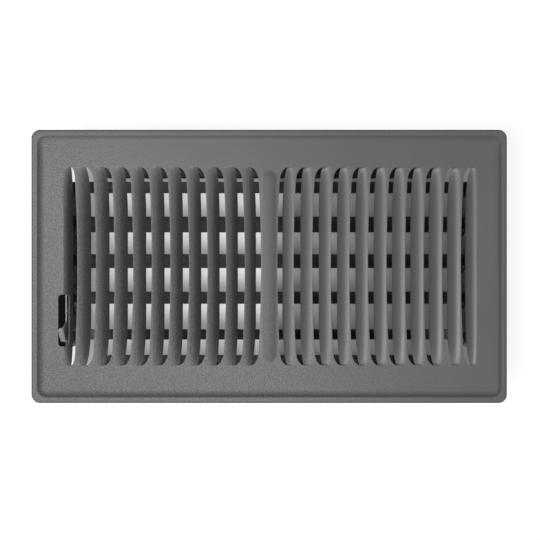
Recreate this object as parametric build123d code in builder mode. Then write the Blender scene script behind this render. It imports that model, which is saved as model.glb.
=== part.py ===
from build123d import *
from math import atan2, cos, radians, sin, sqrt
import os

os.makedirs("parts", exist_ok=True)

# Floor register for a 6 x 12 inch duct: a pressed steel faceplate with two fields of
# louvres, a damper box hung below it, and five damper blades worked by a thumb lever.
# X runs along the register, Y across it and Z up. The register stands on the bottom
# edges of its two long walls, at Z = 0. All sizes are millimetres and degrees.

# Faceplate: one pressed sheet with a flat rim, a shallow step down and a lowered panel.
face_length = 343.0
face_width = 197.2
face_corner = 6.0
face_sheet = 0.9
edge_drop = 4.0
edge_bend = 1.3
rim_width = 4.3
step_width = 4.4
step_depth = 1.0
step_corner = 3.2
panel_corner = 2.4

# Louvre field: eleven slots each side of a middle land.
louvre_count = 11
land_width = 11.8
first_pitch = 11.7
louvre_pitch = 13.42
tongue_hinge = 149.2
slot_length = 142.8
slot_bow = 1.6
tip_run = 7.6
tip_length = 11.0
tip_shoulder = (4.24, 7.78)
high_edge_web = 0.5
louvre_gap = 5.3
first_gap = 3.8
tongue_gap = 5.1
louvre_depth = 7.4
louvre_knee_width = 0.42
louvre_knee_depth = 0.2
louvre_full_length = 72.0
louvre_stations = (1.0, 0.86, 0.55, 0.04)

# Stiffening rib pressed up along the middle land.
rib_width = 10.0
rib_height = 0.8
rib_length = 138.0

# Damper box: two long walls and two end plates, each with a flange under the panel.
box_depth = 51.1
wall_sheet = 0.7
wall_length = 256.0
wall_span_top = 143.8
wall_span_bottom = 140.4
wall_flange = 10.0
plate_sheet = 0.8
plate_span = 298.8
plate_width = 122.0
plate_bottom = 6.0
plate_flange = 9.6
plate_corner = 4.0
bend_radius = 0.9
notch_depth = 10.1
notch_edge = -17.0

# Damper blades: folded sheet blades that turn on rivets, 5 mm off the line of the pivots.
blade_count = 5
blade_pitch = 27.7
blade_width = 28.2
blade_sheet = 0.5
blade_offset = 5.0
blade_lean = 20.5
first_blade_lean = 10.0
blade_crease = 6.0
crease_spacing = 9.4
pivot_height = 29.0
ear_base = 25.0
ear_tip = 14.0
ear_reach = 3.0

# Linkage: the thumb lever and the blades have parallel cranks joined by a flat bar.
crank_length = 12.0
crank_swing = 66.0
crank_eye = 2.8
lever_pivot_y = -39.1
lever_pivot_height = 34.0
lever_sheet = 1.0
lever_hub = 4.2
lever_eye = 3.0
thumb_reach = 19.8
thumb_neck = 11.4
thumb_length = 12.0
thumb_width = 2.4
thumb_corner = 1.6
bar_sheet = 0.8
bar_height = 6.0
bar_ear_base = 12.0
lever_slot_length = 37.5
lever_slot_width = 7.2
lever_slot_centre = -148.7

# Rivets and clearances.
pin_radius = 1.25
pin_end = 0.6
pin_play = 0.08
side_play = 0.2
rivet_fit = 0.02
lever_pin_radius = 1.5
lever_head_radius = 2.8
lever_head_height = 0.7
link_pin_radius = 1.2

# Levels and planes worked out from the sizes above.
panel_top = box_depth + face_sheet
rim_top = panel_top + step_depth
edge_bottom = rim_top - edge_drop
plate_inner = plate_span / 2
lever_outer = plate_inner - side_play
bar_outer = lever_outer - lever_sheet - side_play
ear_outer = bar_outer - bar_sheet - side_play
blade_end = ear_outer - blade_sheet
blade_rows = [(blade_count - 1) / 2 * blade_pitch - n * blade_pitch for n in range(blade_count)]
crank_y = crank_length * sin(radians(crank_swing / 2))
crank_z = -crank_length * cos(radians(crank_swing / 2))
slot_end = slot_length / 2
cut_edges = [land_width / 2]
cut_edges += [land_width / 2 + first_pitch + n * louvre_pitch for n in range(louvre_count - 1)]
hinge_lines = [edge - high_edge_web for edge in cut_edges[1:]] + [tongue_hinge]


def louvre_section(width, depth):
    """Outline one cross-section of a louvre: a strip that leaves its hinge gently and then
    drops steeply from a knee to its free edge."""
    knee = Vector(louvre_knee_width * width, -louvre_knee_depth * depth)
    free_edge = Vector(width, -depth)
    lean = atan2(knee.Y - free_edge.Y, free_edge.X - knee.X)
    knee_lean = (atan2(-knee.Y, knee.X) + lean) / 2
    with BuildLine() as outline:
        Polyline((0, 0), knee, free_edge, free_edge - Vector(sin(lean), cos(lean)) * face_sheet,
                 knee - Vector(sin(knee_lean), cos(knee_lean)) * face_sheet,
                 (0, -face_sheet), close=True)
    return outline.edges()


def louvre(tip_width, full_width):
    """Loft a louvre that is flush at both tips and reaches full depth in its middle."""
    half_full = louvre_full_length / 2
    stations = []
    for share in louvre_stations:
        stations.append((half_full + (slot_end - half_full) * sqrt(1 - share * share), share))
    stations = [(-y, share) for y, share in reversed(stations)] + stations
    with BuildPart() as strip:
        for y, share in stations:
            with BuildSketch(Plane.XZ.offset(-y)):
                make_face(louvre_section(tip_width + (full_width - tip_width) * share,
                                         louvre_depth * share))
        loft(ruled=True)
    return strip.part


def slot_outline(cut_edge, hinge_line):
    """Outline the window of one slot: straight at the hinge, bowed at the cut edge."""
    tip = cut_edge + tip_run
    bend_end = slot_end - tip_length
    with BuildLine() as outline:
        upper = ThreePointArc((tip, slot_end), (tip - tip_shoulder[0], bend_end + tip_shoulder[1]),
                              (cut_edge + slot_bow, bend_end))
        lower = ThreePointArc((cut_edge + slot_bow, -bend_end),
                              (tip - tip_shoulder[0], -bend_end - tip_shoulder[1]), (tip, -slot_end))
        ThreePointArc(upper @ 1, (cut_edge, 0), lower @ 0)
        Polyline(lower @ 1, (hinge_line, -slot_end), (hinge_line, slot_end), upper @ 0)
    return outline.edges()


def capsule_cap(radius, centre_height, cut_height):
    """Give the part of a lying capsule that stands above a level plane."""
    half_run = rib_length / 2 - rib_width / 2
    with BuildPart() as cap:
        with Locations((0, 0, centre_height)):
            Cylinder(radius, 2 * half_run, rotation=(90, 0, 0))
        with Locations((0, half_run, centre_height), (0, -half_run, centre_height)):
            Sphere(radius)
        split(bisect_by=Plane.XY.offset(cut_height), keep=Keep.TOP)
    return cap.part


# Three widths of louvre: the common one, the narrow one beside the middle land, and the
# outermost one, which is a tongue of the panel itself.
louvre_widths = []
for n, (cut_edge, hinge_line) in enumerate(zip(cut_edges, hinge_lines)):
    gap = first_gap if n == 0 else tongue_gap if n == louvre_count - 1 else louvre_gap
    cell = hinge_line - cut_edge
    louvre_widths.append((round(cell - tip_run, 6), round(cell - gap, 6)))
louvre_kinds = {widths: louvre(*widths) for widths in set(louvre_widths)}

rib_radius = ((rib_width / 2) ** 2 + rib_height ** 2) / (2 * rib_height)
rib_centre = panel_top + rib_height - rib_radius
rib_crown = capsule_cap(rib_radius, rib_centre, panel_top)
rib_hollow = capsule_cap(rib_radius - face_sheet, rib_centre, box_depth)

with BuildPart() as faceplate:
    with BuildSketch(Plane.XY.offset(edge_bottom)):
        RectangleRounded(face_length, face_width, face_corner)
    extrude(amount=edge_drop)
    fillet(faceplate.faces().sort_by(Axis.Z)[-1].edges(), edge_bend)
    with BuildSketch(Plane.XY.offset(edge_bottom)):
        RectangleRounded(face_length - 2 * face_sheet, face_width - 2 * face_sheet,
                         face_corner - face_sheet)
    extrude(amount=edge_drop - face_sheet, mode=Mode.SUBTRACT)
    # The step: a tapered pan below it and a tapered pocket above it, one sheet apart.
    for level, mode in ((rim_top - face_sheet, Mode.ADD), (rim_top, Mode.SUBTRACT)):
        for drop, inset, corner in ((0, rim_width, step_corner),
                                    (step_depth, rim_width + step_width, panel_corner)):
            with BuildSketch(Plane.XY.offset(level - drop)):
                RectangleRounded(face_length - 2 * inset, face_width - 2 * inset, corner)
        loft(mode=mode)
    # The slots, with a louvre hung in each one.
    with BuildSketch(Plane.XY.offset(box_depth)) as windows:
        for cut_edge, hinge_line in zip(cut_edges, hinge_lines):
            make_face(slot_outline(cut_edge, hinge_line))
        mirror(about=Plane.YZ)
    extrude(amount=face_sheet, mode=Mode.SUBTRACT)
    for hinge_line, widths in zip(hinge_lines, louvre_widths):
        with Locations(Location((-hinge_line, 0, panel_top))):
            add(louvre_kinds[widths])
        with Locations(Location((0, 0, panel_top))):
            add(mirror(Pos(-hinge_line, 0, 0) * louvre_kinds[widths], about=Plane.YZ,
                       mode=Mode.PRIVATE))
    add(rib_crown)
    add(rib_hollow, mode=Mode.SUBTRACT)
    # The slot for the thumb lever crosses the outermost louvre.
    with BuildSketch(Plane.XY.offset(edge_bottom - louvre_depth)):
        with Locations((lever_slot_centre, lever_pivot_y)):
            SlotOverall(lever_slot_length, lever_slot_width, rotation=90)
    extrude(amount=louvre_depth + edge_drop, mode=Mode.SUBTRACT)
faceplate.part.label = "faceplate"
export_step(faceplate.part, "parts/faceplate.step")

# Long walls: each a folded L that leans in towards its bottom edge.
for name, side in (("side_wall_front", -1), ("side_wall_back", 1)):
    with BuildPart() as side_wall:
        with BuildSketch(Plane.YZ):
            with BuildLine():
                FilletPolyline((side * wall_span_bottom / 2, 0),
                               (side * wall_span_top / 2, box_depth),
                               (side * (wall_span_top / 2 + wall_flange), box_depth),
                               radius=bend_radius)
                offset(amount=wall_sheet, side=Side.RIGHT if side > 0 else Side.LEFT)
            make_face()
        extrude(amount=wall_length / 2, both=True)
        split(bisect_by=Plane.XY, keep=Keep.TOP)
    side_wall.part.label = name
    export_step(side_wall.part, f"parts/{name}.step")

# End plates: folded L plates that carry the pivots. The left one is notched for the lever.
for name, side in (("end_plate_left", -1), ("end_plate_right", 1)):
    with BuildPart() as end_plate:
        with BuildSketch(Plane.XZ):
            with BuildLine():
                FilletPolyline((side * plate_inner, plate_bottom),
                               (side * plate_inner, box_depth),
                               (side * (plate_inner + plate_flange), box_depth),
                               radius=bend_radius)
                offset(amount=plate_sheet, side=Side.RIGHT if side > 0 else Side.LEFT)
            make_face()
        extrude(amount=plate_width / 2, both=True)
        if side < 0:
            notch_length = plate_width / 2 + notch_edge
            with Locations((-plate_inner - plate_flange / 2, -plate_width / 2, box_depth)):
                Box(4 * plate_flange, 2 * notch_length, 2 * notch_depth, mode=Mode.SUBTRACT)
        with BuildSketch(Plane.YZ.offset(side * plate_inner)):
            for row in blade_rows:
                with Locations((row, pivot_height)):
                    Circle(pin_radius + rivet_fit)
            if side < 0:
                with Locations((lever_pivot_y, lever_pivot_height)):
                    Circle(lever_pin_radius + rivet_fit)
        extrude(amount=side * plate_sheet, mode=Mode.SUBTRACT)
        corners = end_plate.edges().filter_by(Axis.X).group_by(Axis.Z)[0]
        fillet(corners, plate_corner)
    end_plate.part.label = name
    export_step(end_plate.part, f"parts/{name}.step")

# Damper blades: each one sheet, creased twice, with an ear folded down at both ends. The
# left ear reaches past the blade to carry the crank pin. The first blade stands steeper
# than the rest, as its ear is folded a little wide.
crease_drop = crease_spacing * sin(radians(blade_crease))
crease_end = crease_spacing / 2 + crease_spacing * cos(radians(blade_crease))
blade_planes = []
for n, row in enumerate(blade_rows):
    lean = radians(first_blade_lean if n == 0 else blade_lean)
    blade_planes.append(Plane(origin=(0, row, pivot_height),
                              x_dir=(0, cos(lean), -sin(lean)), z_dir=(1, 0, 0)))
for n, blade_plane in enumerate(blade_planes):
    crank_pin = blade_plane.to_local_coords(
        Vector(0, blade_rows[n] + crank_y, pivot_height + crank_z))
    with BuildPart() as blade:
        with BuildSketch(blade_plane):
            with BuildLine():
                Polyline((blade_offset - crease_drop, -crease_end),
                         (blade_offset, -crease_spacing / 2),
                         (blade_offset, crease_spacing / 2),
                         (blade_offset - crease_drop, crease_end))
                offset(amount=blade_sheet, side=Side.RIGHT)
            make_face()
        extrude(amount=blade_end, both=True)
        for side in (-1, 1):
            with BuildSketch(blade_plane.offset(side * blade_end)):
                with BuildLine():
                    Polyline((-ear_reach, -ear_tip / 2), (-ear_reach, ear_tip / 2),
                             (blade_offset - crease_drop, ear_base / 2),
                             (blade_offset + blade_sheet, crease_spacing / 2),
                             (blade_offset + blade_sheet, -crease_spacing / 2),
                             (blade_offset - crease_drop, -ear_base / 2), close=True)
                make_face()
                if side < 0:
                    with BuildSketch(mode=Mode.PRIVATE) as crank_arm:
                        with Locations((crank_pin.X, crank_pin.Y), (0, crank_pin.Y / 2)):
                            Circle(crank_eye)
                        make_hull()
                    add(crank_arm.sketch)
                    with Locations((crank_pin.X, crank_pin.Y)):
                        Circle(link_pin_radius + rivet_fit, mode=Mode.SUBTRACT)
                Circle(pin_radius + pin_play, mode=Mode.SUBTRACT)
            extrude(amount=side * blade_sheet)
    blade.part.label = f"blade_{n + 1}"
    export_step(blade.part, f"parts/blade_{n + 1}.step")

# Pivot rivets: pins riveted fast and flush in the end plates. The blades' ears turn on them.
plate_outer = plate_inner + plate_sheet
with BuildPart() as pivot_rivets:
    with BuildSketch(Plane.YZ.offset(blade_end - pin_end)):
        for row in blade_rows:
            with Locations((row, pivot_height)):
                Circle(pin_radius)
    extrude(amount=plate_outer - blade_end + pin_end)
    mirror(about=Plane.YZ)
pivot_rivets.part.label = "pivot_rivets"
export_step(pivot_rivets.part, "parts/pivot_rivets.step")

# Thumb lever: a flat blank with its thumb pad folded out over the end plate.
lever_lean = crank_swing / 2
lever_plane = Plane(origin=(-lever_outer, lever_pivot_y, lever_pivot_height),
                    x_dir=(0, cos(radians(lever_lean)), sin(radians(lever_lean))),
                    z_dir=(1, 0, 0))
with BuildPart() as thumb_lever:
    with BuildSketch(lever_plane) as blank:
        Circle(lever_hub)
        with BuildSketch(mode=Mode.PRIVATE) as crank_arm:
            Circle(lever_eye)
            with Locations((0, -crank_length)):
                Circle(lever_eye)
            make_hull()
        add(crank_arm.sketch)
        with BuildLine():
            Polyline((-lever_eye, 0), (-lever_eye, thumb_neck),
                     (-thumb_length / 2, thumb_reach - lever_sheet),
                     (-thumb_length / 2, thumb_reach), (thumb_length / 2, thumb_reach),
                     (thumb_length / 2, thumb_reach - lever_sheet),
                     (lever_eye, thumb_neck), (lever_eye, 0), close=True)
        make_face()
        Circle(lever_pin_radius + pin_play, mode=Mode.SUBTRACT)
        with Locations((0, -crank_length)):
            Circle(lever_pin_radius + rivet_fit, mode=Mode.SUBTRACT)
    extrude(amount=lever_sheet)
    pad_plane = Plane(origin=lever_plane.from_local_coords(Vector(0, thumb_reach, 0)),
                      x_dir=lever_plane.x_dir, z_dir=lever_plane.y_dir)
    with BuildSketch(pad_plane) as pad:
        with Locations((0, thumb_width / 2)):
            Rectangle(thumb_length, thumb_width)
        fillet(pad.vertices().group_by(Axis.Y)[-1], thumb_corner)
    extrude(amount=-lever_sheet)
thumb_lever.part.label = "thumb_lever"
export_step(thumb_lever.part, "parts/thumb_lever.step")

# Lever rivet: riveted flush in the left end plate, with a flat head inside the lever.
lever_inner = lever_outer - lever_sheet - pin_play
with BuildPart() as lever_rivet:
    with BuildSketch(Plane.YZ.offset(-plate_outer)):
        with Locations((lever_pivot_y, lever_pivot_height)):
            Circle(lever_pin_radius)
    extrude(amount=plate_outer - lever_inner)
    with BuildSketch(Plane.YZ.offset(-lever_inner)):
        with Locations((lever_pivot_y, lever_pivot_height)):
            Circle(lever_head_radius)
    extrude(amount=lever_head_height)
lever_rivet.part.label = "lever_rivet"
export_step(lever_rivet.part, "parts/lever_rivet.step")

# Link bar: a flat strip that joins the five crank pins, with an ear up to the lever's pin.
bar_z = pivot_height + crank_z
lever_pin = (lever_pivot_y + crank_y, lever_pivot_height + crank_z)
with BuildPart() as link_bar:
    with BuildSketch(Plane.YZ.offset(-bar_outer)):
        with Locations(((blade_rows[0] + blade_rows[-1]) / 2 + crank_y, bar_z)):
            SlotCenterToCenter(blade_rows[0] - blade_rows[-1], bar_height)
        with BuildSketch(Plane.XY, mode=Mode.PRIVATE) as bar_ear:
            with Locations(lever_pin):
                Circle(bar_height / 2)
            with Locations((lever_pin[0], bar_z)):
                Rectangle(bar_ear_base, bar_height)
            make_hull()
        add(bar_ear.sketch)
        for row in blade_rows:
            with Locations((row + crank_y, bar_z)):
                Circle(link_pin_radius + pin_play, mode=Mode.SUBTRACT)
        with Locations(lever_pin):
            Circle(lever_pin_radius + pin_play, mode=Mode.SUBTRACT)
    extrude(amount=bar_sheet)
link_bar.part.label = "link_bar"
export_step(link_bar.part, "parts/link_bar.step")

# Crank rivets: pins fast and flush in the blades' ears, free in the link bar.
for n, row in enumerate(blade_rows):
    with BuildPart() as link_rivet:
        with BuildSketch(Plane.YZ.offset(-bar_outer)):
            with Locations((row + crank_y, bar_z)):
                Circle(link_pin_radius)
        extrude(amount=bar_outer - blade_end)
    link_rivet.part.label = f"link_rivet_{n + 1}"
    export_step(link_rivet.part, f"parts/link_rivet_{n + 1}.step")

# Lever pin: a plain stud, flush at both faces, fast in the lever and free in the bar.
with BuildPart() as lever_stud:
    with BuildSketch(Plane.YZ.offset(-lever_outer)):
        with Locations(lever_pin):
            Circle(lever_pin_radius)
    extrude(amount=lever_sheet + side_play + bar_sheet)
lever_stud.part.label = "lever_stud"
export_step(lever_stud.part, "parts/lever_stud.step")
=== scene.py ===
from math import cos, exp, hypot, log1p, pi, radians, sin, sqrt

import bmesh
import bpy
from mathutils import Matrix, Vector


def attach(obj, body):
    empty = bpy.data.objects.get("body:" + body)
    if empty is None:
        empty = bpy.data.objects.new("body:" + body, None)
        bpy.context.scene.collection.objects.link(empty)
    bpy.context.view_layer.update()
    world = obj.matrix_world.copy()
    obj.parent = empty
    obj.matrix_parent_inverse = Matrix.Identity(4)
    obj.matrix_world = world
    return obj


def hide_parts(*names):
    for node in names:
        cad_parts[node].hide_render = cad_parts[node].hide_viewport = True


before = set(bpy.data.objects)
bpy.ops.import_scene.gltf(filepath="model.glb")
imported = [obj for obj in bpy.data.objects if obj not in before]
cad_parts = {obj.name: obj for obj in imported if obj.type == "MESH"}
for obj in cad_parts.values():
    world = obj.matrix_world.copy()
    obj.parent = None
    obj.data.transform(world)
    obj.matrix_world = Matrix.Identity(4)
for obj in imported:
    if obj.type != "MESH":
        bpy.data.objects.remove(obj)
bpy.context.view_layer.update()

scene = bpy.context.scene


# ---- Faceplate ----
# The faceplate is one sheet of 0.9 mm steel. Its 22 louvres are slit and pressed down out
# of the panel, each still joined along its outer edge and at both tips, and its border is
# pressed up into a rim and turned down at the edge. It is powder coated graphite grey.

MM = 0.001
PANEL_TOP = 52.0
FACE_HALF = (171.5, 98.6)
PANEL_INSET = 8.7
FACE_SHEET = 0.9
LAND_HALF = 5.9
CUT_EDGES = [LAND_HALF] + [17.6 + 13.42 * n for n in range(10)]
HINGES = [edge - 0.5 for edge in CUT_EDGES[1:]] + [149.2]
GAPS = [3.8] + [5.3] * 9 + [5.1]
OUTERMOST = 10
SLOT_END = 71.4
SLOT_BOW = 1.6
TIP_ARC = 11.0
TIP_START = SLOT_END - TIP_ARC
TIP_RUN = 7.6
LEVER_TIP_RUN = 4.6
LOUVRE_DEPTH = 7.4
LOUVRE_FADE = 35.4
FADE_START = SLOT_END - LOUVRE_FADE
KNEE = 0.42
KNEE_SOFTNESS = 0.07
STRIP_STEPS = 9
RIB_HALF_WIDTH = 5.0
RIB_HALF_LENGTH = 64.0
RIB_RADIUS = 16.025
RIB_CENTRE_DEPTH = 15.225


def slot_bow(y, run):
    """How far the cut edge of a slot stands off its line at the height y. At the slot's
    end it stands off by the run."""
    reach = abs(y)
    if reach >= SLOT_END:
        return run
    if reach > TIP_START:
        return run - (run - SLOT_BOW) * sqrt(1 - ((reach - TIP_START) / TIP_ARC) ** 2)
    return SLOT_BOW * (reach / TIP_START) ** 2


def louvre_share(y):
    """How far a louvre is pressed down at the height y, from 0 to 1."""
    reach = abs(y)
    if reach >= SLOT_END:
        return 0.0
    if reach > FADE_START:
        return sqrt(1 - ((reach - FADE_START) / LOUVRE_FADE) ** 2)
    return 1.0


def louvre_point(cell, along, y, run):
    """Distance from the middle of the register and level of a point on a louvre, which
    slopes gently from its hinge and steeply past a soft knee."""
    share = louvre_share(y)
    hinge = HINGES[cell]
    if run < TIP_RUN:
        hinge -= 0.8 + 1.4 * min(abs(y) / SLOT_END, 1) ** 8
    tip_width = HINGES[cell] - CUT_EDGES[cell] - run
    full_width = HINGES[cell] - CUT_EDGES[cell] - GAPS[cell]
    width = tip_width + (full_width - tip_width) * share - HINGES[cell] + hinge
    flat = log1p(exp(-KNEE / KNEE_SOFTNESS))
    bend = log1p(exp((along - KNEE) / KNEE_SOFTNESS)) - flat
    full_bend = log1p(exp((1 - KNEE) / KNEE_SOFTNESS)) - flat
    drop = 0.48 * along + 0.52 * bend / full_bend
    return hinge - width * along, PANEL_TOP - LOUVRE_DEPTH * share * drop


def rib_level(x, y):
    """Height of the stiffening rib above the panel."""
    off_line = hypot(x, max(abs(y) - RIB_HALF_LENGTH, 0))
    if off_line >= RIB_HALF_WIDTH:
        return 0.0
    return sqrt(RIB_RADIUS ** 2 - off_line ** 2) - RIB_CENTRE_DEPTH


def rounded_rim(point, inset, radius):
    """Move a point of the panel's border out to a rounded rectangle of another size."""
    half = [side - inset for side in FACE_HALF]
    start = [side - PANEL_INSET for side in FACE_HALF]
    corner_run = 3.0
    into = [min(max((abs(point[i]) - start[i]) / corner_run + 1, 0), 1) for i in (0, 1)]
    sign = [1 if point[i] >= 0 else -1 for i in (0, 1)]
    on_side = abs(point[0]) > start[0] - 1e-6
    if into[0] > 0 and into[1] > 0:
        turn = radians(45) * (into[1] if on_side else 2 - into[0])
        return (sign[0] * (half[0] - radius + radius * cos(turn)),
                sign[1] * (half[1] - radius + radius * sin(turn)))
    if on_side:
        return sign[0] * half[0], point[1]
    return point[0], sign[1] * half[1]


# The sheet starts as a grid with a column for each crease and a row for each step in level.
rows = [FADE_START + LOUVRE_FADE * sin(radians(t)) for t in range(0, 91, 5)]
rows = [0, 8, 16, 23, 30] + rows + [72.6, 75.0, 79.0, 83.0, 86.9, 87.7, 88.4, 89.2, 89.9]
row_levels = [-y for y in reversed(rows[1:])] + rows
columns = [("land", x) for x in (0, 0.8, 1.6, 2.4, 3.2, 4.0, 4.6, 5.0)]
for cell in range(OUTERMOST + 1):
    columns.append(("edge", cell))
    columns += [("strip", (cell, 1 - n / STRIP_STEPS)) for n in range(STRIP_STEPS + 1)]
columns += [("land", x) for x in (150.6, 153.0, 156.3, 159.8, 160.6, 161.3, 162.1, 162.8)]
half_columns = len(columns) - 1

shell = bmesh.new()
bmesh.ops.create_grid(shell, x_segments=2 * half_columns, y_segments=len(row_levels) - 1, size=1)
column_of = {}
for vert in shell.verts:
    column = round(vert.co.x * half_columns)
    y = row_levels[round((vert.co.y + 1) / 2 * (len(row_levels) - 1))]
    kind, value = columns[abs(column)]
    if kind == "land":
        x, z = value, PANEL_TOP
    else:
        cell = value if kind == "edge" else value[0]
        run = LEVER_TIP_RUN if column < 0 and cell == OUTERMOST else TIP_RUN
        if kind == "edge":
            x, z = CUT_EDGES[cell] + slot_bow(y, run), PANEL_TOP
        else:
            x, z = louvre_point(cell, value[1], y, run)
    column_of[vert] = column
    x = -x if column < 0 else x
    vert.co = (x, y, z + rib_level(x, y))

# Each opening is the faces between a cut edge and the free edge of its louvre.
openings = []
for face in shell.faces:
    inner = min(abs(column_of[vert]) for vert in face.verts)
    if columns[inner][0] == "edge" and face.calc_center_median().y ** 2 < SLOT_END ** 2:
        openings.append(face)
bmesh.ops.delete(shell, geom=openings, context='FACES_ONLY')

# The border goes out in rings, each with its own inset, level and corner radius.
EDGE_BEND = 1.3
rings = [(8.2, 52.03, 2.9), (7.4, 52.14, 3.7), (6.4, 52.36, 4.7), (5.4, 52.66, 5.7),
         (4.8, 52.9, 6.3), (4.5, 52.98, 6.6), (4.2, 53.0, 6.8)]
rings.append((EDGE_BEND, 53.0, 5.3))
for t in (22, 45, 68, 90):
    turn = radians(t)
    rings.append((EDGE_BEND - EDGE_BEND * sin(turn), 51.7 + EDGE_BEND * cos(turn), 5.0 + sin(turn)))
rings.append((0.0, 49.0, 6.0))
loop = []
for edge in shell.edges:
    if edge.is_boundary:
        if all(abs(vert.co.x) > 162.7 or abs(vert.co.y) > 89.8 for vert in edge.verts):
            loop.append(edge)
places = {}
for vert in {vert for edge in loop for vert in edge.verts}:
    place = vert.co.copy()
    vert.co.x, vert.co.y = rounded_rim(place, PANEL_INSET, 2.4)
    places[vert.co.to_tuple(3)] = place
for inset, level, radius in rings:
    step = bmesh.ops.extrude_edge_only(shell, edges=loop)["geom"]
    ring = [item for item in step if isinstance(item, bmesh.types.BMVert)]
    loop = [item for item in step if isinstance(item, bmesh.types.BMEdge)]
    ring_places = {}
    for vert in ring:
        place = places[vert.co.to_tuple(3)]
        vert.co = (*rounded_rim(place, inset, radius), level)
        ring_places[vert.co.to_tuple(3)] = place
    places = ring_places
bmesh.ops.remove_doubles(shell, verts=shell.verts, dist=0.002)
bmesh.ops.recalc_face_normals(shell, faces=shell.faces)
if sum(face.normal.z * face.calc_area() for face in shell.faces) < 0:
    bmesh.ops.reverse_faces(shell, faces=shell.faces)

# The hole for the thumb lever, with round corners, cut out of the sheet side by side.
HOLE_SIDES = 28
HOLE_CORNER = 2.4
HOLE_HALF = (3.6, 18.75)
hole_centre = Vector((-148.7, -39.1, 0))
inside = [face for face in shell.faces
          if abs(face.calc_center_median().x - hole_centre.x) < 8
          and abs(face.calc_center_median().y - hole_centre.y) < 24]
for n in range(HOLE_SIDES):
    turn = 2 * pi * n / HOLE_SIDES
    outward = Vector((cos(turn), sin(turn), 0))
    corner = Vector([(size - HOLE_CORNER) * (1 if part > 0 else -1)
                     for size, part in zip(HOLE_HALF, outward)] + [0])
    side = hole_centre + corner + outward * HOLE_CORNER
    geometry = {item for face in inside for item in (*face.verts, *face.edges, face)}
    cut = bmesh.ops.bisect_plane(shell, geom=list(geometry), dist=0.0001,
                                 plane_co=side, plane_no=outward)
    inside = [face for face in cut["geom"] if isinstance(face, bmesh.types.BMFace)
              and (face.calc_center_median() - side).dot(outward) < 0]
bmesh.ops.delete(shell, geom=inside, context='FACES')

bmesh.ops.transform(shell, matrix=Matrix.Scale(MM, 4), verts=shell.verts)
mesh = bpy.data.meshes.new("faceplate_sheet")
shell.to_mesh(mesh)
shell.free()
mesh.shade_smooth()
mesh.set_sharp_from_angle(angle=radians(35))
faceplate = bpy.data.objects.new("faceplate_sheet", mesh)
scene.collection.objects.link(faceplate)
thickness = faceplate.modifiers.new("sheet", 'SOLIDIFY')
thickness.thickness = FACE_SHEET * MM
thickness.offset = -1
worn_edge = faceplate.modifiers.new("edge", 'BEVEL')
worn_edge.width = 0.0002
worn_edge.segments = 2
worn_edge.limit_method = 'ANGLE'
worn_edge.angle_limit = radians(50)
worn_edge.harden_normals = True
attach(faceplate, "frame")
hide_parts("faceplate")


class Wire:
    """A socket of a node tree, so that sums of shader values can be written as sums."""

    def __init__(self, tree, socket=None):
        self.tree = tree
        self.socket = socket

    def node(self, kind, settings=None, out=0, **sockets):
        """Add a node, set it up, link its inputs and give back one of its outputs."""
        item = self.tree.nodes.new(kind)
        for name, value in (settings or {}).items():
            setattr(item, name, value)
        for name, value in sockets.items():
            place = int(name[1:]) if name[0] == "_" else name.replace("_", " ")
            plug = item.inputs[place]
            if isinstance(value, Wire):
                self.tree.links.new(value.socket, plug)
            else:
                plug.default_value = value
        return Wire(self.tree, item.outputs[out])

    def math(self, operation, *values):
        """Work out one step of arithmetic."""
        return self.node("ShaderNodeMath", {"operation": operation},
                         **{f"_{n}": value for n, value in enumerate(values)})

    def __add__(self, other):
        return self.math('ADD', self, other)

    def __radd__(self, other):
        return self.math('ADD', other, self)

    def __sub__(self, other):
        return self.math('SUBTRACT', self, other)

    def __rsub__(self, other):
        return self.math('SUBTRACT', other, self)

    def __mul__(self, other):
        return self.math('MULTIPLY', self, other)

    def __rmul__(self, other):
        return self.math('MULTIPLY', other, self)

    def __abs__(self):
        return self.math('ABSOLUTE', self)

    def top(self, other):
        """The larger of two values."""
        return self.math('MAXIMUM', self, other)

    def away(self, other):
        """How far a point lies from the origin, by its distance each way."""
        return self.math('SQRT', self * self + other * other)

    def beyond(self, limit):
        """1 where the value is over the limit, and 0 elsewhere."""
        return self.math('GREATER_THAN', self, limit)

    def clip(self, low, high):
        """Map the span from low to high onto 0 to 1, and hold it there."""
        return self.node("ShaderNodeMapRange", Value=self, From_Min=low, From_Max=high)

    def mix(self, low, high):
        """Blend two colours by this value."""
        return self.node("ShaderNodeMix", {"data_type": 'RGBA'}, 2, _0=self, _6=low, _7=high)

    def noise(self, scale, detail, roughness=0.5):
        """Noise over the points of this vector."""
        return self.node("ShaderNodeTexNoise", Vector=self, Scale=scale, Detail=detail,
                         Roughness=roughness)

    def split(self):
        """The three parts of this vector."""
        parts = self.node("ShaderNodeSeparateXYZ", Vector=self).socket.node.outputs
        return [Wire(self.tree, part) for part in parts]


def start_paint(name, grain_size):
    """Start a paint: its material, its place on the piece, its grain and its uneven tone."""
    material = bpy.data.materials.new(name)
    material.use_nodes = True
    place = Wire(material.node_tree).node("ShaderNodeTexCoord", out=3)
    grain = place.noise(1 / grain_size, 2.0, 0.65)
    cloud = place.noise(22.0, 3.0)
    speck = place.noise(0.6 / grain_size, 3.0)
    shade = cloud.clip(0.3, 0.7) * 0.5 + speck.clip(0.3, 0.7) * 0.5
    return material, place, grain, cloud, shade


def tones(base, spread):
    """A darker and a paler tone of one colour."""
    return [(*[min(part * share, 1) for part in base], 1) for share in (1 - spread, 1 + spread)]


def finish_paint(material, colour, rough, relief, height):
    """Connect the colour, the roughness and the relief of a paint."""
    tree = material.node_tree
    bump = colour.node("ShaderNodeBump", Strength=1.0, Distance=height, Height=relief)
    inputs = tree.nodes["Principled BSDF"].inputs
    for name, value in (("Base Color", colour), ("Roughness", rough), ("Normal", bump)):
        tree.links.new(value.socket, inputs[name])


face_paint, place, grain, cloud, shade = start_paint("faceplate_paint", 0.0009)
x, y, z = place.split()

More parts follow.
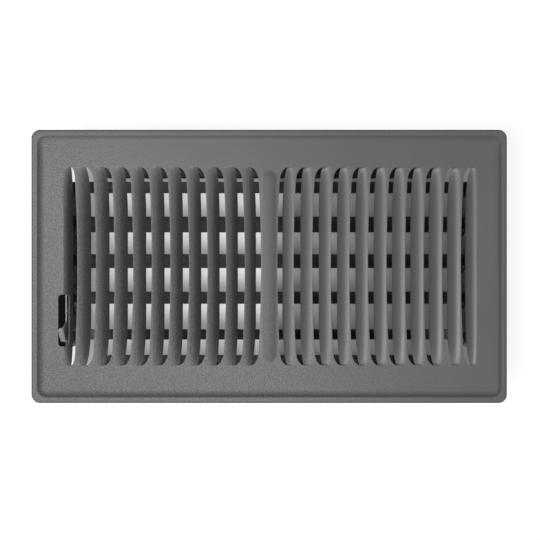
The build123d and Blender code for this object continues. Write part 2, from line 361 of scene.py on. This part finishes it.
# The grain's relief is deeper towards the front left corner, and its colour speckle is stronger
# there as painted sheen, where the lamp's reflection makes the grain stand out.
grain_and_sheen = (0.04 - x - y * 1.2).clip(0.0, 0.3)
shade = 0.5 + (shade - 0.5) * 0.25 + (grain - 0.5) * (grain_and_sheen * 12.0 + 0.5)
colour = shade.mix(*tones((0.066, 0.0648, 0.0655), 0.24))

# The colour is darkened towards near black, and the roughness raised, in the step beside the
# rim, at the turned-down edge, on the rib and down the louvres. In the step this is painted
# shade in the crease, weaker along the back step, which faces the light; down the louvres it
# is painted shade that deepens towards their free edges.
across = (abs(x) - 0.1604).top(0.0)
along = (abs(y) - 0.0875).top(0.0)
off_panel = across.away(along) - 0.0024
step_shade = off_panel.clip(-0.0008, 0.0034) * (1.0 - off_panel.clip(0.0043, 0.0047))
at_edge = (abs(x) - 0.1700).top(abs(y) - 0.0971).clip(0.0002, 0.0008)
on_rib = 1.0 - x.away((abs(y) - 0.064).top(0.0)).clip(0.0042, 0.0056)
louvre_shade = (0.052 - z).clip(0.0008, 0.0070) * (1.0 - along.clip(0.0, 0.001))
shade_and_darkening = step_shade * (0.68 - y.clip(0.08, 0.09) * 0.2) + at_edge * 0.8 + on_rib * 0.26
shade_and_darkening = shade_and_darkening + louvre_shade * 0.42
# Mixed towards near black: painted shade in the step and down the louvres, and darker at the edge
# and on the rib.
finish_paint(face_paint, shade_and_darkening.mix(colour, (0.012, 0.012, 0.012, 1)),
             0.47 + (cloud - 0.5) * 0.12 + shade_and_darkening * 0.5, grain * (grain_and_sheen * 0.88 + 0.12), 0.0007)
face_paint.node_tree.nodes["Principled BSDF"].inputs["Specular IOR Level"].default_value = 0.36
mesh.materials.append(face_paint)


# ---- Damper box ----
# The two long walls are folded from thin sheet with a thin dark paint, and the end plates
# from paler coated sheet. Their flanges are welded under the panel.

def painted(name, base, roughness, grain_size, grain_height, roll=None):
    """Make a thin paint with a fine grain. With roll, the waves per metre each way, the
    lines of the rolled sheet show through it."""
    material, place, grain, cloud, shade = start_paint(name, grain_size)
    if roll:
        stretched = place.node("ShaderNodeVectorMath", {"operation": 'MULTIPLY'}, _0=place, _1=roll)
        shade = shade * 0.4 + stretched.noise(1.0, 3.0).clip(0.3, 0.7) * 1.2 - 0.3
    colour = shade.mix(*tones(base, 0.14))
    finish_paint(material, colour, roughness + (cloud - 0.5) * 0.12, grain, grain_height)
    return material


def dress(material, *names):
    """Give carried-over pieces their material, and take the sharpness off their edges."""
    for name in names:
        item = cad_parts[name]
        item.data.materials.clear()
        item.data.materials.append(material)
        joined = item.modifiers.new("joined", 'WELD')
        joined.merge_threshold = 0.00002
        edges = item.modifiers.new("edges", 'BEVEL')
        edges.width = 0.00012
        edges.segments = 2
        edges.limit_method = 'ANGLE'
        edges.angle_limit = radians(50)
        edges.harden_normals = True


box_paint = painted("box_paint", (0.02, 0.0195, 0.0195), 0.5, 0.0008, 0.00004, roll=(8, 8, 700))
plate_paint = painted("plate_paint", (0.42, 0.418, 0.415), 0.4, 0.0008, 0.00004, roll=(600, 9, 600))
dress(box_paint, "side_wall_front", "side_wall_back")
dress(plate_paint, "end_plate_left", "end_plate_right")


# ---- Damper blades ----
# Five blades are folded from thin sheet, each with an ear and a crank at its ends, and have
# a thin dark paint over the lines of the rolled sheet.

blade_paint = painted("blade_paint", (0.024, 0.0235, 0.0235), 0.5, 0.0008, 0.00004,
                      roll=(8, 500, 500))
dress(blade_paint, *[f"blade_{n}" for n in range(1, 6)])


# ---- Thumb lever and link bar ----
# The lever is a flat blank with its pad folded out, and the link bar is a flat strip. The pad
# and the top of the leg have a thick skin of powder coat, rounded where the sheet is folded.

LEAN = radians(33)
PIVOT = (-39.1, 34.0)
SKIN_FOLD = 1.4
profile = [(-151.95, 20.0), (-151.0, 20.08), (-149.9, 20.08)]
for t in (0, 18, 36, 54, 72, 90):
    turn = radians(t)
    profile.append((-149.4 + SKIN_FOLD * sin(turn), 18.68 + SKIN_FOLD * cos(turn)))
profile += [(-148.0, 16.5), (-148.0, 14.0), (-148.0, 11.0), (-148.0, 8.0)]
skin = bmesh.new()
bmesh.ops.create_grid(skin, x_segments=10, y_segments=len(profile) - 1, size=1)
for vert in skin.verts:
    x, reach = profile[round((vert.co.y + 1) / 2 * (len(profile) - 1))]
    half = 6.1 - 1.2 * min(max((17.0 - reach) / 9.0, 0), 1)
    curl = max(abs(vert.co.x) - 0.78, 0) / 0.22
    along = vert.co.x * half
    if x < -149.9:
        x += 1.3 * curl ** 2
    reach -= 0.5 * curl ** 2 if reach > 18 else 0
    vert.co = (x, PIVOT[0] - reach * sin(LEAN) + along * cos(LEAN),
               PIVOT[1] + reach * cos(LEAN) + along * sin(LEAN))
bmesh.ops.recalc_face_normals(skin, faces=skin.faces)
if sum(face.normal.x + face.normal.z for face in skin.faces) < 0:
    bmesh.ops.reverse_faces(skin, faces=skin.faces)
bmesh.ops.transform(skin, matrix=Matrix.Scale(MM, 4), verts=skin.verts)
pad_mesh = bpy.data.meshes.new("thumb_pad")
skin.to_mesh(pad_mesh)
skin.free()
pad_mesh.shade_smooth()
pad = bpy.data.objects.new("thumb_pad", pad_mesh)
scene.collection.objects.link(pad)
coat = pad.modifiers.new("coat", 'SOLIDIFY')
coat.thickness = 0.0005
coat.offset = -1
pad_mesh.materials.append(painted("pad_paint", (0.125, 0.123, 0.124), 0.5, 0.0009, 0.0003))
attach(pad, "lever")
dress(painted("lever_paint", (0.12, 0.118, 0.118), 0.5, 0.0008, 0.00006), "thumb_lever")
dress(box_paint, "link_bar")


# ---- Rivets ----
# The pivots, the crank pins and the lever's stud are plain zinc-plated steel. The rivets are
# set from inside the box, and each has a low domed head on the outer face of its end plate.

rivet_steel = painted("rivet_steel", (0.3, 0.3, 0.3), 0.35, 0.0006, 0.00001)
rivet_steel.node_tree.nodes["Principled BSDF"].inputs["Metallic"].default_value = 1.0
dress(rivet_steel, "pivot_rivets", "lever_rivet", "lever_stud",
      *[f"link_rivet_{n}" for n in range(1, 6)])
PLATE_OUTER = 150.2
heads = bmesh.new()
pins = [(side, y, 29.0, 2.1) for side in (-1, 1) for y in (55.4, 27.7, 0, -27.7, -55.4)]
pins.append((-1, *PIVOT, 2.6))
for side, y, z, radius in pins:
    ball = bmesh.ops.create_uvsphere(heads, u_segments=20, v_segments=10, radius=1)["verts"]
    bmesh.ops.rotate(heads, verts=ball, cent=(0, 0, 0), matrix=Matrix.Rotation(pi / 2, 3, 'Y'))
    bmesh.ops.scale(heads, verts=ball, vec=(0.95, radius, radius))
    for vert in ball:
        vert.co.x = side * max(side * vert.co.x, 0)
    bmesh.ops.translate(heads, verts=ball, vec=(side * PLATE_OUTER, y, z))
bmesh.ops.remove_doubles(heads, verts=heads.verts, dist=0.001)
bmesh.ops.transform(heads, matrix=Matrix.Scale(MM, 4), verts=heads.verts)
bmesh.ops.recalc_face_normals(heads, faces=heads.faces)
head_mesh = bpy.data.meshes.new("rivet_heads")
heads.to_mesh(head_mesh)
heads.free()
head_mesh.shade_smooth()
rivet_heads = bpy.data.objects.new("rivet_heads", head_mesh)
scene.collection.objects.link(rivet_heads)
head_mesh.materials.append(rivet_steel)
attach(rivet_heads, "frame")


# ---- Studio ----
# A white surface under the register, with painted shade darkening it below the blades just
# right of the middle and towards the right end, and a painted glow brightening it below the
# left half; a black strip below the lever's slot as painted shadow; one soft light from the
# left and front, and light all round.

def flat_sheet(name, size, centre, material):
    """Lay a flat sheet."""
    sheet = bmesh.new()
    bmesh.ops.create_grid(sheet, x_segments=1, y_segments=1, size=0.5)
    bmesh.ops.scale(sheet, vec=(*size, 1), verts=sheet.verts)
    bmesh.ops.translate(sheet, vec=centre, verts=sheet.verts)
    sheet_mesh = bpy.data.meshes.new(name)
    sheet.to_mesh(sheet_mesh)
    sheet.free()
    sheet_mesh.materials.append(material)
    item = bpy.data.objects.new(name, sheet_mesh)
    scene.collection.objects.link(item)
    return item


white = bpy.data.materials.new("white_floor")
white.use_nodes = True
tree = white.node_tree
tree.nodes.clear()
x, y, z = Wire(tree).node("ShaderNodeTexCoord", out=3).split()
outside = abs(x).beyond(0.171).top(abs(y).beyond(0.098))
# Painted light: under the left half of the register the floor glows brighter to camera rays, as a
# pool of light through the left louvres.
left_glow = 1.0 - x.clip(-0.004, 0.0)
# Painted shade: the floor inside the register is darker just right of the middle and towards the
# right end.
floor_shade = x.clip(-0.002, 0.004) * (1.0 - x.clip(0.024, 0.034)) + x.clip(0.06, 0.12)
shaded_floor = (floor_shade * (1.0 - outside)).mix((0.8, 0.8, 0.8, 1), (0.42, 0.42, 0.42, 1))
paper = x.node("ShaderNodeBsdfDiffuse", Color=outside.mix(shaded_floor, (0.9, 0.9, 0.9, 1)))
glow = x.node("ShaderNodeEmission", Color=(1, 1, 1, 1), Strength=1.0)
seen = x.node("ShaderNodeLightPath")
share = seen * (outside * (0.79 - left_glow * 0.14) + 0.06 + left_glow * 0.14)
result = x.node("ShaderNodeMixShader", _0=share, _1=paper, _2=glow)
output = tree.nodes.new("ShaderNodeOutputMaterial")
tree.links.new(result.socket, output.inputs["Surface"])
floor = flat_sheet("floor", (8.0, 8.0), (0, 0, 0), white)

# Painted shadow: a black strip on the floor below the lever's slot stands in for the shade that
# falls there.
painted_shadow_black = painted("painted_shadow_black", (0.004, 0.004, 0.004), 0.9, 0.001, 0.0001)
painted_shadow_black.node_tree.nodes["Principled BSDF"].inputs["Specular IOR Level"].default_value = 0.0
shadow_strip = flat_sheet("painted_shadow_strip", (0.0125, 0.05), (-0.16475, -0.0425, 0.0004), painted_shadow_black)

world = bpy.data.worlds.new("studio")
scene.world = world
world.use_nodes = True
sky = world.node_tree.nodes["Background"].inputs
sky["Color"].default_value = (1, 1, 1, 1)
sky["Strength"].default_value = 0.5

lamp_data = bpy.data.lights.new("window", 'AREA')
lamp_data.shape = 'RECTANGLE'
lamp_data.size = 0.5
lamp_data.size_y = 0.5
lamp_data.energy = 24.5
lamp = bpy.data.objects.new("window", lamp_data)
scene.collection.objects.link(lamp)
lamp.location = (-0.50, -0.25, 1.14)
aim = Vector((0, 0, 0.05)) - lamp.location
lamp.rotation_euler = aim.to_track_quat('-Z', 'Y').to_euler()

camera_data = bpy.data.cameras.new("camera")
camera_data.lens = 46.2
camera_data.sensor_width = 36.0
camera_data.clip_start = 0.01
camera = bpy.data.objects.new("camera", camera_data)
scene.collection.objects.link(camera)
camera.location = (0.0006, -0.0026, 0.552)
camera.rotation_euler = (0, 0, 0)
scene.camera = camera
scene.view_settings.view_transform = 'Standard'
